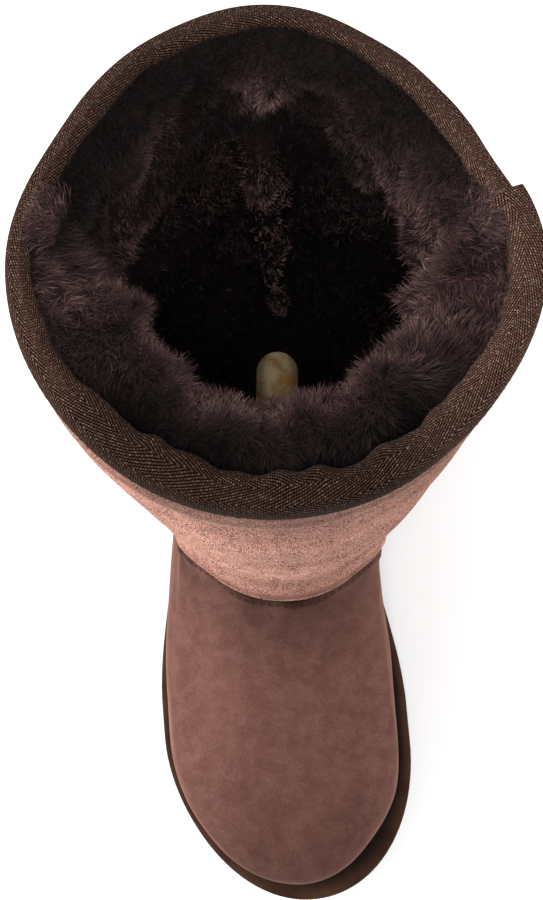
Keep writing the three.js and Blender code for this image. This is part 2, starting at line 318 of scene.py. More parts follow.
def edit(piece, *steps):
    pick(piece)
    bpy.ops.object.mode_set(mode="EDIT")
    bpy.ops.mesh.select_all(action="SELECT")
    for step in steps:
        step()
    bpy.ops.object.mode_set(mode="OBJECT")


def weld(distance=0.01):
    return lambda: bpy.ops.mesh.remove_doubles(threshold=distance * MM)


def face_out():
    bpy.ops.mesh.normals_make_consistent(inside=False)


def flip():
    bpy.ops.mesh.flip_normals()


def finish(piece, material, replaces=(), smooth_angle=40):
    if smooth_angle:
        pick(piece)
        bpy.ops.object.shade_smooth_by_angle(angle=np.radians(smooth_angle))
    piece.data.materials.clear()
    piece.data.materials.append(material)
    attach(piece, "root")
    if replaces:
        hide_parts(*replaces)
    clear()
    return piece


def mark(piece, name, values):
    """A number for each corner, for the material to read."""
    attribute = piece.data.attributes.new(name, "FLOAT", "POINT")
    attribute.data.foreach_set("value", np.asarray(values, np.float32).ravel())


def mesh_piece(name, points, triangles, strand_uv=None):
    mesh = bpy.data.meshes.new(name)
    mesh.vertices.add(len(points))
    mesh.vertices.foreach_set("co", (points * MM).astype(np.float32).ravel())
    mesh.loops.add(triangles.size)
    mesh.polygons.add(len(triangles))
    mesh.polygons.foreach_set("loop_start", np.arange(len(triangles), dtype=np.int32) * 3)
    mesh.polygons.foreach_set("vertices", triangles.astype(np.int32).ravel())
    if strand_uv is not None:
        layer = mesh.uv_layers.new(name="strand")
        layer.data.foreach_set("uv", strand_uv[triangles.ravel()].astype(np.float32).ravel())
    mesh.update(calc_edges=True)
    mesh.polygons.foreach_set("use_smooth", np.ones(len(triangles), bool))
    piece = bpy.data.objects.new(name, mesh)
    bpy.context.scene.collection.objects.link(piece)
    return piece


# --- Finishes ---


def colour(text):
    parts = [int(text[i : i + 2], 16) / 255 for i in (1, 3, 5)]
    return (*(p / 12.92 if p < 0.04045 else ((p + 0.055) / 1.055) ** 2.4 for p in parts), 1.0)


class Nodes:
    """The nodes of a finish. Colours may be given as text."""

    def __init__(self, tree):
        self.tree = tree

    def join(self, value, socket):
        if isinstance(value, bpy.types.NodeSocket):
            self.tree.links.new(value, socket)
        else:
            socket.default_value = colour(value) if isinstance(value, str) else value

    def add(self, kind, inputs=(), **settings):
        made = self.tree.nodes.new("ShaderNode" + kind)
        for key, value in settings.items():
            setattr(made, key, value)
        for key, value in dict(inputs).items():
            self.join(value, made.inputs[key])
        return made

    def calc(self, operation, *values):
        return self.add("Math", dict(enumerate(values)), operation=operation).outputs[0]

    def plus(self, first, second):
        return self.calc("ADD", first, second)

    def less(self, first, second):
        return self.calc("SUBTRACT", first, second)

    def times(self, first, second):
        return self.calc("MULTIPLY", first, second)

    def ramp(self, value, low, high, out_low=0.0, out_high=1.0):
        inputs = dict(enumerate((value, low, high, out_low, out_high)))
        return self.add("MapRange", inputs, interpolation_type="SMOOTHSTEP").outputs[0]

    def blend(self, share, first, second):
        return self.add("Mix", {0: share, 6: first, 7: second}, data_type="RGBA").outputs[2]

    def spot(self):
        return self.add("TexCoord").outputs["Object"]

    def noise(self, scale, detail, roughness=0.5, distortion=0.0, where=None):
        inputs = {"Vector": where or self.spot(), "Scale": scale, "Detail": detail}
        inputs.update(Roughness=roughness, Distortion=distortion)
        return self.add("TexNoise", inputs).outputs["Fac"]

    def stretched(self, *scale):
        return self.add("Mapping", {"Vector": self.spot(), "Scale": scale}).outputs[0]

    def own_map(self, uv_map):
        """The two numbers of a piece's own map."""
        spot = self.add("UVMap", uv_map=uv_map).outputs[0]
        return self.add("SeparateXYZ", {0: spot}).outputs[:2]


class Material(Nodes):
    """A material. The settings go on the shader's own sockets."""

    def __init__(self, name, **settings):
        self.material = bpy.data.materials.new(name)
        self.material.use_nodes = True
        super().__init__(self.material.node_tree)
        self.shader = self.tree.nodes["Principled BSDF"].inputs
        for key, value in settings.items():
            self.shader[key.replace("_", " ")].default_value = value

    def painted_shade(self, body, bright=None):
        """The colour with painted light and shade from the piece's own shade attribute: dimmed
        above zero, lighter below it.
        """
        value = self.less(1.0, self.add("Attribute", attribute_name="shade").outputs["Fac"])
        if bright is not None:
            value = self.times(bright, value)
        return self.add("HueSaturation", {"Value": value, "Color": body}).outputs[0]

    def done(self, body, roughness=None, bump=None):
        """Joins up the shader; a bump is its height, strength and depth in mm."""
        self.join(body, self.shader["Base Color"])
        if roughness is not None:
            self.join(roughness, self.shader["Roughness"])
        if bump:
            height, strength, distance = bump
            inputs = {"Height": height, "Strength": strength, "Distance": distance * MM}
            self.join(self.add("Bump", inputs).outputs[0], self.shader["Normal"])
        return self.material


def make_nap():
    """Brushed suede: broad clouding, brush marks, dark flecks of grain and fine nap."""
    tree = bpy.data.node_groups.new("suede_nap", "ShaderNodeTree")
    faces = {"INPUT": ("Cloud scale", "Grain")}
    faces["OUTPUT"] = ("Cloud", "Brush", "Mottle", "Marks", "Fine", "Height")
    for way, labels in faces.items():
        for label in labels:
            tree.interface.new_socket(name=label, in_out=way, socket_type="NodeSocketFloat")
    given = tree.nodes.new("NodeGroupInput").outputs
    gives = tree.nodes.new("NodeGroupOutput").inputs
    nap = Nodes(tree)
    combed = nap.stretched(1.0, 1.0, 0.22)
    flecks = nap.ramp(nap.noise(3000.0, 0.0, where=combed), 0.36, 0.6, 1.0, 0.0)
    patchy = nap.ramp(nap.noise(300.0, 3.0, 0.6, where=combed), 0.36, 0.64, 0.6, 1.0)
    marks = nap.times(nap.times(flecks, patchy), given["Grain"])
    brush = nap.noise(150.0, 4.0, 0.65, 0.3, where=nap.stretched(1.0, 1.0, 0.55))
    mottle = nap.noise(125.0, 3.0, 0.6, 0.4, where=nap.stretched(1.0, 0.35, 0.5))
    fine = nap.noise(1700.0, 2.0, 0.6)
    raised = nap.plus(nap.times(fine, 0.35), nap.times(nap.noise(520.0, 3.0, 0.6), 0.5))
    made = {
        "Cloud": nap.ramp(nap.noise(given["Cloud scale"], 5.0, 0.6), 0.3, 0.7),
        "Brush": nap.ramp(brush, 0.3, 0.7),
        "Mottle": nap.ramp(mottle, 0.33, 0.67),
        "Marks": marks,
        "Fine": fine,
        "Height": nap.less(raised, nap.times(marks, 0.3)),
    }
    for label, value in made.items():
        nap.join(value, gives[label])
    return tree


NAP = make_nap()
WARM = (1.0, 0.7, 0.6, 1.0)


def make_suede(name, deep, middle, pale, glancing, flecks, grain, turn_from, turn_by):
    """Suede with a painted sheen: the nap's colour is painted paler, towards the glancing colour,
    where it is seen along the surface.
    """
    suede = Material(
        name, Sheen_Weight=0.06, Sheen_Roughness=0.4, Sheen_Tint=WARM, Specular_IOR_Level=0.0
    )
    nap = suede.add("Group", {"Cloud scale": 24.0, "Grain": grain}, node_tree=NAP).outputs
    body = suede.blend(nap["Cloud"], deep, middle)
    body = suede.blend(suede.times(nap["Brush"], 0.55), body, pale)
    facing = suede.add("LayerWeight", {"Blend": 0.5}).outputs["Facing"]
    painted_sheen = suede.ramp(facing, turn_from, turn_by)
    painted_sheen = suede.times(painted_sheen, suede.ramp(nap["Cloud"], 0, 1, 0.7, 1))
    body = suede.blend(painted_sheen, body, glancing)
    body = suede.blend(nap["Marks"], body, flecks)
    bright = suede.ramp(nap["Fine"], 0.25, 0.75, 0.8, 1.17)
    bright = suede.times(bright, suede.ramp(nap["Mottle"], 0, 1, 0.95, 1.04))
    roughness = suede.ramp(nap["Brush"], 0, 1, 0.98, 0.88)
    return suede.done(suede.painted_shade(body, bright), roughness, (nap["Height"], 0.45, 0.4))


def make_tape():
    """Herringbone twill, worked out round the tape and across its section."""
    tape = Material(
        "collar_tape_weave", Sheen_Weight=0.02, Sheen_Roughness=0.4, Specular_IOR_Level=0.0
    )
    round_share, section_share = tape.own_map("UVMap")
    ribs = tape.times(round_share, float(RIBS_ROUND))
    zigzag = tape.calc("PINGPONG", tape.times(section_share, TAPE_WIDTH), BAND)
    phase = tape.plus(ribs, tape.times(zigzag, RIB_SLANT))
    rib = tape.ramp(tape.calc("COSINE", tape.times(phase, TURN)), -0.75, 0.6)
    run = tape.less(tape.times(ribs, DASHES), tape.times(zigzag, DASH_SLANT))
    run = tape.plus(run, tape.times(phase, 0.5))
    dash = tape.ramp(tape.calc("COSINE", tape.times(run, TURN)), -0.5, 0.7)
    weave = tape.times(rib, tape.plus(tape.times(dash, 0.7), 0.3))
    body = tape.blend(weave, "#0b0504", "#513a31")
    broad = tape.ramp(tape.noise(70.0, 3.0), 0.35, 0.7)
    body = tape.blend(tape.times(broad, 0.12), body, "#50382f")
    # Painted glints: pale flecks on the raised threads of the weave.
    thread = tape.ramp(tape.noise(1500.0, 2.0, 0.6), 0.48, 0.7)
    body = tape.blend(tape.times(thread, tape.times(weave, 0.7)), body, "#9c8070")
    roughness = tape.ramp(weave, 0, 1, 0.95, 0.62)
    return tape.done(tape.painted_shade(body), roughness, (weave, 0.8, 0.3))


def make_fleece(name, root, body, tip, gloss):
    """Hair: dark at the root, each strand a little different, pale at the tip where the painted
    light on the tip allows it.
    """
    hair = Material(
        name, Roughness=0.55, Specular_IOR_Level=gloss, Sheen_Weight=0.03, Sheen_Roughness=0.5
    )
    chance, along = hair.own_map("strand")
    patch = hair.ramp(hair.noise(60.0, 4.0, 0.65), 0.35, 0.68)
    tone = hair.blend(hair.ramp(along, 0.15, 0.8), root, body)
    tipped = hair.times(hair.ramp(along, 0.45, 1.0), hair.ramp(chance, 0.4, 1.0))
    tipped = hair.times(tipped, hair.ramp(patch, 0.0, 1.0, 0.3, 1.0))
    return hair.done(hair.blend(tipped, tone, tip))


def make_fleece_base():
    wool = Material("fleece_underwool", Roughness=0.95, Specular_IOR_Level=0.1)
    curls = wool.noise(320.0, 4.0, 0.7, 0.6)
    body = wool.blend(wool.ramp(curls, 0.3, 0.7), "#0b0606", "#1e1313")
    return wool.done(body, bump=(curls, 0.9, 2.0))


def make_rubber():
    rubber = Material("outsole_rubber", Specular_IOR_Level=0.08)
    cloud = rubber.noise(40.0, 4.0, 0.6)
    speck = rubber.noise(1700.0, 3.0, 0.6)
    body = rubber.blend(rubber.ramp(cloud, 0.3, 0.7), "#28150d", "#3c2518")
    body = rubber.blend(rubber.ramp(speck, 0.55, 0.75, 0.0, 0.3), body, "#5e3c20")
    roughness = rubber.ramp(cloud, 0.3, 0.7, 0.72, 0.58)
    return rubber.done(rubber.painted_shade(body), roughness, (speck, 0.4, 0.25))


def make_thread(name, dark, light):
    thread = Material(name, Roughness=0.8, Specular_IOR_Level=0.05)
    inputs = {"Vector": thread.spot(), "Scale": 900.0, "Distortion": 2.0}
    twist = thread.add("TexWave", inputs, bands_direction="DIAGONAL").outputs["Fac"]
    return thread.done(thread.blend(twist, dark, light), bump=(twist, 0.5, 0.12))


def make_cream():
    cream = Material("insole_cream_pile", Sheen_Weight=0.3, Sheen_Roughness=0.5, Roughness=0.95)
    cloud = cream.noise(160.0, 4.0, 0.6)
    curl = cream.noise(900.0, 3.0, 0.7, 0.8)
    body = cream.blend(cream.ramp(cloud, 0.35, 0.65), "#dba564", "#ffe3b5")
    body = cream.blend(cream.ramp(curl, 0.45, 0.7, 0.0, 0.3), body, "#b5803f")
    return cream.done(cream.painted_shade(body), bump=(curl, 0.7, 0.8))


# Herringbone: ribs slant one way and the other in neighbouring bands.
TAPE_WIDTH = 34.0  # round the whole folded section, mm
BAND = 5.4
RIBS_ROUND = 204
RIB_SLANT = 1.22  # turns of the pattern for each mm across
DASHES = 2.31  # short floats along each rib's run
DASH_SLANT = 0.48

VAMP_SUEDE = make_suede(
    "vamp_suede", "#543933", "#5e3f38", "#715048", "#8f665a", "#432b28", 0.3, 0.75, 1.1
)
# The shaft's suede is the vamp's hide with a much paler, wider painted sheen and slightly lighter
# colours.
SHAFT_SUEDE = make_suede(
    "shaft_suede", "#573b35", "#69463e", "#7f594f", "#c69484", "#573731", 1.0, 0.35, 0.92
)
COUNTER_SUEDE = make_suede(
    "counter_suede", "#4d342e", "#573a33", "#68483f", "#8a6356", "#3f2827", 0.4, 0.5, 1.0
)
TAPE_WEAVE = make_tape()
FLEECE = make_fleece("fleece_hair", "#080303", "#3b2524", "#b48d8a", 0.2)
# The deep hair is a lighter copy of the fleece hair: painted light where the lamps reach little
# into the shaft.
FLEECE_DEEP = make_fleece("fleece_hair_deep", "#070404", "#543c3b", "#c29a98", 0.15)
UNDERWOOL = make_fleece_base()
RUBBER = make_rubber()
THREAD = make_thread("seam_thread", "#2a1913", "#5b3f33")
TAPE_THREAD = make_thread("tape_thread", "#1d110d", "#4a352b")
CREAM = make_cream()

# --- Hide panels ---

HIDE_THICK = 2.2
SIDE_SEAM = np.radians(78.0)  # the side seams stand this far round from the rear
GAP_ANGLE = 0.0012  # half the gap between two panels
FRONT_SPAN = (SIDE_SEAM + GAP_ANGLE, TURN - SIDE_SEAM - GAP_ANGLE)
REAR_SPAN = (GAP_ANGLE - SIDE_SEAM, SIDE_SEAM - GAP_ANGLE)
FRONT = np.pi
COLLAR_SHARE = 0.99  # how far up the hide goes under the tape
UNDERLAP = -1.9  # how far in the vamp's edge goes under the shaft
# The way round the boot, in mm for each radian, at the places where it is needed.
RADIUS = {"heel": 46.0, "lining": 50.0, "seam": 55.0, "shaft": 56.0, "rim": 58.0, "collar": 62.0}

# Creases and swells, placed one by one. Towards is the direction round the boot in
# degrees, height, length and width are in mm, slant in degrees, and depth is
# below the surface where positive and above it where negative.
CREASES = [
    # towards, height, length, width, slant, depth
    (158, 300, 62, 8, 5, 0.45),
    (205, 297, 70, 9, -6, 0.5),
    (182, 284, 96, 13, 3, -0.5),
    (170, 271, 70, 12, -4, 0.5),
    (216, 266, 58, 14, 9, 0.5),
    (140, 262, 60, 14, 8, 0.5),
    (190, 244, 90, 20, 2, -0.5),
    (165, 224, 74, 18, -7, 0.5),
    (206, 206, 66, 18, 6, 0.5),
    (178, 182, 84, 18, 0, 0.5),
    (150, 160, 46, 14, 10, 0.7),
    (206, 156, 46, 14, -10, 0.8),
    (104, 168, 62, 17, -10, 1.5),
    (96, 138, 56, 13, 12, 1.7),
    (106, 112, 52, 12, 24, 1.3),
    (258, 172, 62, 18, 10, 1.5),
    (264, 140, 56, 14, -12, 1.8),
    (256, 114, 52, 12, -24, 1.3),
    (52, 150, 66, 16, -8, 1.6),
    (44, 122, 58, 13, 10, 1.5),
    (308, 152, 66, 16, 8, 1.6),
    (316, 124, 58, 13, -10, 1.5),
    (20, 182, 50, 18, 4, 1.0),
    (340, 206, 54, 20, -5, 1.0),
    (62, 232, 70, 24, 6, 1.2),
    (296, 238, 70, 24, -6, 1.2),
]


def creases(angle, points):
    total = np.zeros(angle.shape)
    for towards, height, length, width, slant, depth in CREASES:
        side = turn_from(angle, np.radians(towards)) * RADIUS["shaft"]
        rise = points[..., 2] - height
        lean = np.radians(slant)
        along = side * np.cos(lean) + rise * np.sin(lean)
        across = rise * np.cos(lean) - side * np.sin(lean)
        trough = hump(across, width / 2) - 0.35 * hump(np.abs(across) - width * 0.75, width / 2.4)
        total -= depth * hump(along, length / 2) * trough
    return total


def vamp_rise(angle):
    """Where the vamp meets the shaft, lowest at the side seams."""
    off = np.degrees(np.abs(angle - FRONT))
    return (7.7 - 2.7 * smooth(off, 30, 102)) / LAST_ROW


def seam_distance(angle):
    """Distance to the nearer side seam, round the boot."""
    off = np.minimum(np.abs(angle - SIDE_SEAM), np.abs(angle - (TURN - SIDE_SEAM)))
    off = np.minimum(off, np.abs(angle + SIDE_SEAM))
    return off * RADIUS["seam"]


def relief(angle, points):
    lift = creases(angle, points)
    lift += 0.3 * soft_noise(points, 46, 3) + 0.12 * soft_noise(points, 17, 4)
    side = seam_distance(angle)
    lift += 1.3 * hump(side, 2.4) - 0.8 * hump(side - 4.6, 1.3) - 0.9 * hump(side, 0.5)
    return lift * (1 - smooth(points[..., 2], 284, 309))


def relief_shade(angle):
    side = seam_distance(angle)
    return 0.35 * hump(side - 4.6, 1.2) + 0.3 * hump(side, 0.6)


def hide_sheet(piece, angle, rise, lift, shade, thick):
    """Lays a flat grid on the boot, shades it and gives it its thickness inwards."""
    shape(piece, on_hide(angle, rise, lift))
    mark(piece, "shade", np.clip(shade, -0.3, 0.9))
    modify(piece, "SOLIDIFY", thickness=thick * MM, offset=-1.0)


def panel(name, span, across, up, low, high, spread, lift_of, shade_of):
    """A sheet of hide across a span of directions, between two edges given by direction."""
    piece, u, v = grid(name, across, up)
    start, stop = span
    angle = stop - u * (stop - start)
    rise = lerp(low(angle), high(angle), spread(v))
    bare = hide(angle, rise)
    lift, shade = lift_of(angle, rise, bare), shade_of(angle, rise, bare)
    hide_sheet(piece, angle, rise, lift, shade, HIDE_THICK)
    return piece


def at_sole(angle):
    return np.zeros(np.shape(angle))


def under_shaft(angle):
    return vamp_rise(angle) + 0.006


def at_collar(angle):
    return np.full(np.shape(angle), COLLAR_SHARE)


def towards_top(share):
    return 1 - (1 - share) ** 1.25


def towards_seam(share):
    return share**1.3


def evenly(share):
    return share


def from_vamp(angle, bare):
    """Distance from the vamp seam along the front of the boot."""
    return np.linalg.norm(bare - hide(angle, vamp_rise(angle)), axis=-1)


def stitch_pull(angle):
    """One at each stitch of the vamp seam, nothing halfway between."""
    reach = np.interp(angle, SEAM_DIRECTIONS, SEAM_REACH)
    return 0.5 + 0.5 * np.cos(TURN * reach / STITCH_PITCH)


def vamp_lift(angle, rise, bare):
    edge = from_vamp(angle, bare)
    below = rise <= vamp_rise(angle)
    gathers = sheet_noise(angle * RADIUS["seam"], edge * 0.12, 5.5, 8)
    lift = relief(angle, bare)
    pull = stitch_pull(angle)
    lift -= 0.8 * np.exp(-edge / 1.2) + 0.75 * hump(edge - STITCH_INSET, 1.2) * pull
    lift += 0.3 * hump(edge - STITCH_INSET - 1.4, 1.2) * (1 - pull)
    lift -= 0.3 * hump(edge - 8.5, 4.0)
    lift += 0.25 * gathers * np.exp(-((edge / 16) ** 2))
    return np.where(below, lift, UNDERLAP)


def vamp_shade(angle, rise, bare):
    edge = from_vamp(angle, bare)
    streaks = sheet_noise(angle * RADIUS["seam"], edge * 0.1, 4.0, 9)
    # Painted shade: darker where the vamp runs in under the shaft, in the stitch dimples and down
    # its top in the shaft's shadow; the streaks are the suede's own.
    shade = 0.35 * hump(edge, 3.2) + 0.6 * hump(edge - STITCH_INSET, 0.9) * stitch_pull(angle)
    shade += 0.3 * hump(edge, 30) + 0.12 * streaks * hump(edge, 15)
    # Painted light: darker down the middle and over the toe, lighter at the sides where the light
    # and the sheen fall.
    toe = smooth(-bare[..., 1], 60, 118)
    across = (bare[..., 0] - 9) / 45
    sides = smooth(np.abs(across), 0.25, 0.85)
    return shade + 0.2 * toe + lerp(0.12, -0.16, sides) + relief_shade(angle)


def shaft_lift(angle, rise, bare):
    edge = from_vamp(angle, bare)
    front = smooth(forward(angle), 0.1, 0.8)
    roll = 0.5 * front * hump(edge - 2.4, 2.2) - 0.9 * np.exp(-edge / 1.2)
    return relief(angle, bare) + roll


def shaft_shade(angle, rise, bare):
    edge = from_vamp(angle, bare)
    # Painted shade along the rolled lower edge and in the side seams' grooves.
    shade = 0.5 * hump(edge, 1.5) + relief_shade(angle)
    z = bare[..., 2]
    bands = sheet_noise(angle * 5.0, z, 9, 12)
    streaks = sheet_noise(angle * 2.0, z, 4.0, 13)
    # On the front: painted shade under the tape and on the big-toe side, with darker streaky
    # bands.
    shade_under_tape = smooth(z, 255, 303) * (0.3 + 0.14 * np.maximum(bands, -0.8))
    big_toe_side = smooth(np.sin(angle), 0.25, 0.9)
    streaks_and_painted_shade = 0.02 + shade_under_tape + 0.09 * bands + 0.05 * streaks + 0.16 * big_toe_side
    return shade + smooth(forward(angle), 0.15, 0.75) * streaks_and_painted_shade


def plain_lift(angle, rise, bare):
    return relief(angle, bare)


def plain_shade(angle, rise, bare):
    return relief_shade(angle)


STITCH_PITCH = 3.0
STITCH_INSET = 3.6  # from the vamp's edge to its stitches
SEAM_ROW = 25.0  # mm down the vamp, at its seam, for each row of the sections
SEAM_DIRECTIONS = np.linspace(SIDE_SEAM + 0.03, TURN - SIDE_SEAM - 0.03, 700)
SEAM_REACH = distance_along(hide(SEAM_DIRECTIONS, vamp_rise(SEAM_DIRECTIONS)))

vamp_edges = (at_sole, under_shaft, towards_top)
vamp = panel("vamp", FRONT_SPAN, 200, 110, *vamp_edges, vamp_lift, vamp_shade)
finish(vamp, VAMP_SUEDE, ["upper"])
shaft_edges = (vamp_rise, at_collar, towards_seam)
shaft = panel("shaft_front", FRONT_SPAN, 140, 120, *shaft_edges, shaft_lift, shaft_shade)
finish(shaft, SHAFT_SUEDE)
rear_edges = (at_sole, at_collar, evenly)
quarters = panel("quarters", REAR_SPAN, 120, 150, *rear_edges, plain_lift, plain_shade)
finish(quarters, SHAFT_SUEDE)

# --- Heel counter and back stay ---

OVERLAY = 1.9  # how far the laid-on leather stands out
OVERLAY_THICK = 1.7
OVERLAY_FOLLOW = 0.6  # the share of the hide's relief that shows through it
OVERLAY_INSET = 3.2  # from its edge to its stitches
COUNTER_BOTTOM = 24.9
COUNTER_TOP = 82.0
COUNTER_EDGE = np.array([(50, 24.6), (55, 36), (64, 53), (76, 68), (92, 78), (108, COUNTER_TOP)])
STAY_HALF = 8.4
STAY_TOP = 309.4


def counter_half_angle(z):
    """How far round from the rear the counter reaches at a height."""
    y = np.interp(z, COUNTER_EDGE[:, 1], COUNTER_EDGE[:, 0])
    row = section_at(rise_at(0.0, z) * LAST_ROW)
    s = (row["y_back"] - y) / (row["y_back"] - row["y_front"])
    return np.arccos(np.clip(1 - 2 * s, -1, 1))


def overlay_lift(bare, angle, edge):
    """Leather laid over the hide: its edge sinks in and a stitch row draws it down."""
    return (
        OVERLAY
        + OVERLAY_FOLLOW * relief(angle, bare)
        - 0.55 * np.exp(-edge / 0.5)
        - 0.4 * hump(edge - OVERLAY_INSET, 0.8)
    )


def overlay_shade(edge):
    return 0.3 * np.exp(-edge / 0.7) + 0.25 * hump(edge - OVERLAY_INSET, 0.8)


def make_overlay(name, across, up, spot_of, node):
    """A piece of leather laid over the hide; spot_of gives its direction, rise and edge."""
    piece, u, v = grid(name, across, up)
    angle, rise, edge = spot_of(1 - 2 * u, v)
    lift = overlay_lift(hide(angle, rise), angle, edge)
    hide_sheet(piece, angle, rise, lift, overlay_shade(edge), OVERLAY_THICK)
    return finish(piece, COUNTER_SUEDE, [node])


def counter_spot(side, share):
    z = lerp(COUNTER_BOTTOM, COUNTER_TOP - 0.4, share)
    half = counter_half_angle(z)
    to_side = (1 - np.abs(side)) * half * RADIUS["heel"]
    return side * half, rise_at(side * half, z), np.minimum(to_side, COUNTER_TOP - z + 0.2)


def stay_at(x, z):
    """The direction and rise of a point of the back at a distance from the middle."""
    rise = rise_at(0.0, z)
    row = section_at(rise * LAST_ROW)
    angle = np.arcsin(np.clip(x / row["back"], -0.9, 0.9)) * 0.75
    for _ in range(4):
        now = raw_hide(angle, rise)[..., 0] - row["side"]
        ahead = raw_hide(angle + 0.01, rise)[..., 0] - row["side"]
        angle = angle + (x - now) / np.maximum((ahead - now) / 0.01, 5.0)
    return angle, rise


def stay_spot(side, share):
    x = side * STAY_HALF
    z = lerp(COUNTER_TOP + 0.3, STAY_TOP, share)
    return *stay_at(x, z), np.minimum(STAY_HALF - np.abs(x), z - COUNTER_TOP)


make_overlay("heel_counter_leather", 110, 42, counter_spot, "heel_counter")
make_overlay("back_stay_leather", 14, 160, stay_spot, "back_stay")

# --- Collar tape ---

# The folded tape's section: distance out from the hide and height from the cut
# edge, up the outside, over the edge and down the inside.
TAPE_OUTSIDE = [
    (1.5, -11.0),
    (1.75, -9.0),
    (1.75, -5.0),
    (1.5, -2.6),
    (0.7, -0.9),
    (-0.9, 0.4),
    (-3.2, 1.3),
    (-6.0, 1.6),
    (-8.4, 0.7),
    (-9.6, -1.2),
    (-9.9, -4.5),
    (-9.7, -9.6),
]
TAPE_INSIDE = [(-8.9, -9.7), (-8.7, -3.0), (0.8, -3.0), (0.8, -10.8)]
# How much narrower the tape lies than at the front, every 30 degrees from the rear.
TAPE_SHORT = np.array([5.0, 4.4, 4.2, 3.9, 2.8, 0.8, 0.0, 0.6, 2.8, 5.0, 4.6, 4.6])
TAPE_JOIN = np.radians(73.0)  # where the tape's end lies over its start


def along_path(path, steps):
    """Points evenly spaced along a path rounded at its corners."""
    path = np.array(path, float)
    dense = []
    padded = np.vstack([2 * path[0] - path[1], path, 2 * path[-1] - path[-2]])
    for i in range(len(path) - 1):
        t = np.linspace(0, 1, 12, endpoint=False)[:, None]
        dense.append(between(*padded[i : i + 4], t))
    dense = np.vstack([*dense, path[-1:]])
    reach = distance_along(dense)
    return spots_along(dense, reach, np.linspace(0, reach[-1], steps))


def tape_spot(angle, offset, height):
    below = np.minimum(COLLAR_HEIGHT - 0.02, COLLAR_HEIGHT + height)
    rise = np.minimum(1, rise_at(angle, below))
    spot = on_hide(angle, rise, offset)
    spot[..., 2] = COLLAR_HEIGHT + height
    return spot


def tape_swell(angle, offset, height):
    """The tape's own unevenness: how far its inner edge reaches in, and its puckers and join."""
    circle = np.stack([np.cos(angle), np.sin(angle), 0 * angle], -1) * RADIUS["collar"]
    inner = smooth(-offset, 1.0, 9.0)
    front = smooth(forward(angle), 0.5, 0.9)
    pucker = 0.7 * soft_noise(circle, 9, 21) + 0.45 * soft_noise(circle, 4.5, 22)
    pucker = pucker * lerp(0.3, 1.0, front)
    sway = 0.5 * soft_noise(circle, 24, 23) * lerp(0.5, 1.0, inner)
    past = ((angle - TAPE_JOIN) % TURN) * RADIUS["collar"]
    step = smooth(past, 0.0, 0.7) * np.exp(-((past / 42) ** 2)) * (past < 150)
    sway = np.where(offset > 0.3, np.maximum(sway, -0.25), sway)
    out = sway + inner * (pucker + by_direction(TAPE_SHORT, angle % TURN))
    out = out + step * lerp(2.6, -0.8, inner)
    up = 0.45 * soft_noise(circle, 13, 24) * smooth(height, -9, 0)
    up = up + 0.5 * step * smooth(height, -6, 0)
    return offset + out, height + np.minimum(up, 0.8)


def make_tape_ring():
    around, shown = 640, 30
    across = shown + len(TAPE_INSIDE)
    piece, i, j = ring("collar_tape_binding", around, across)
    path = np.vstack([along_path(TAPE_OUTSIDE, shown), TAPE_INSIDE])
    angle = i / around * TURN
    offset, height = tape_swell(angle, path[j, 0], path[j, 1])
    shape(piece, tape_spot(angle, offset, height))
    # Painted light: the tape is darker at the front and lighter on the big-toe side.
    front, big_toe_side = smooth(forward(angle), 0.4, 0.9), smooth(np.sin(angle), 0.35, 0.9)
    mark(piece, "shade", 0.42 * front - 0.5 * big_toe_side)
    edit(piece, weld(), face_out)
    return finish(piece, TAPE_WEAVE, ["collar_tape"], smooth_angle=60)


make_tape_ring()

# --- Outsole ---

SOLE_SIDE = 44  # quads along each side of the square that makes each flat face
GROOVES = [(-106, -29, 30, 38), (62, 117, 31, 24)]  # from, to, reach at each end
GROOVE = {"width": 3.2, "depth": 2.2, "pitch": 11.0, "swing": 2.4, "wave": 24.0, "cut": 7.0}


def disc_share(u, v):
    """Turns a square into a round: how far out a corner is, and its direction."""
    a, b = 2 * u - 1, 2 * v - 1
    far = np.maximum(np.abs(a), np.abs(b))
    safe = np.maximum(far, 1e-9)
    a, b = a / safe, b / safe
    top = b >= np.abs(a) - 1e-9
    left = (a <= -np.abs(b) + 1e-9) & ~top
    bottom = (b <= -np.abs(a) + 1e-9) & ~top & ~left
    sides = [(1 - a) / 8, 0.25 + (1 - b) / 8, 0.5 + (1 + a) / 8]
    return far, np.select([top, left, bottom], sides, 0.75 + (1 + b) / 8)


def sole_disc(name, inset, height_at):
    piece, u, v = grid(name, SOLE_SIDE, SOLE_SIDE)
    far, turn = disc_share(u, v)
    x, y = sole_loop(turn * TURN - TURN / 8, inset)
    x, y = lerp(6.0, x, far), lerp(0.0, y, far)
    shape(piece, np.stack([x, y, height_at(y)], -1) + SHIFT)
    return piece


# The side wall, from the ground up: inset from the widest line, share of the
# height, and mm added.
SOLE_WALL = [
    (3.2, 0.0, 0.0),
    (2.0, 0.0, 0.35),
    (1.1, 0.0, 1.2),
    (0.7, 0.0, 2.6),
    (0.3, 0.25, 0.0),
    (0.0, 0.5, 0.0),
    (0.0, 0.68, 0.0),
    (0.1, 1.0, -5.0),
    (1.0, 1.0, -4.5),
    (1.0, 1.0, -4.1),
    (0.1, 1.0, -3.6),
    (0.15, 1.0, -2.2),
    (0.5, 1.0, -1.1),
    (1.2, 1.0, -0.35),
    (2.2, 1.0, 0.0),
]


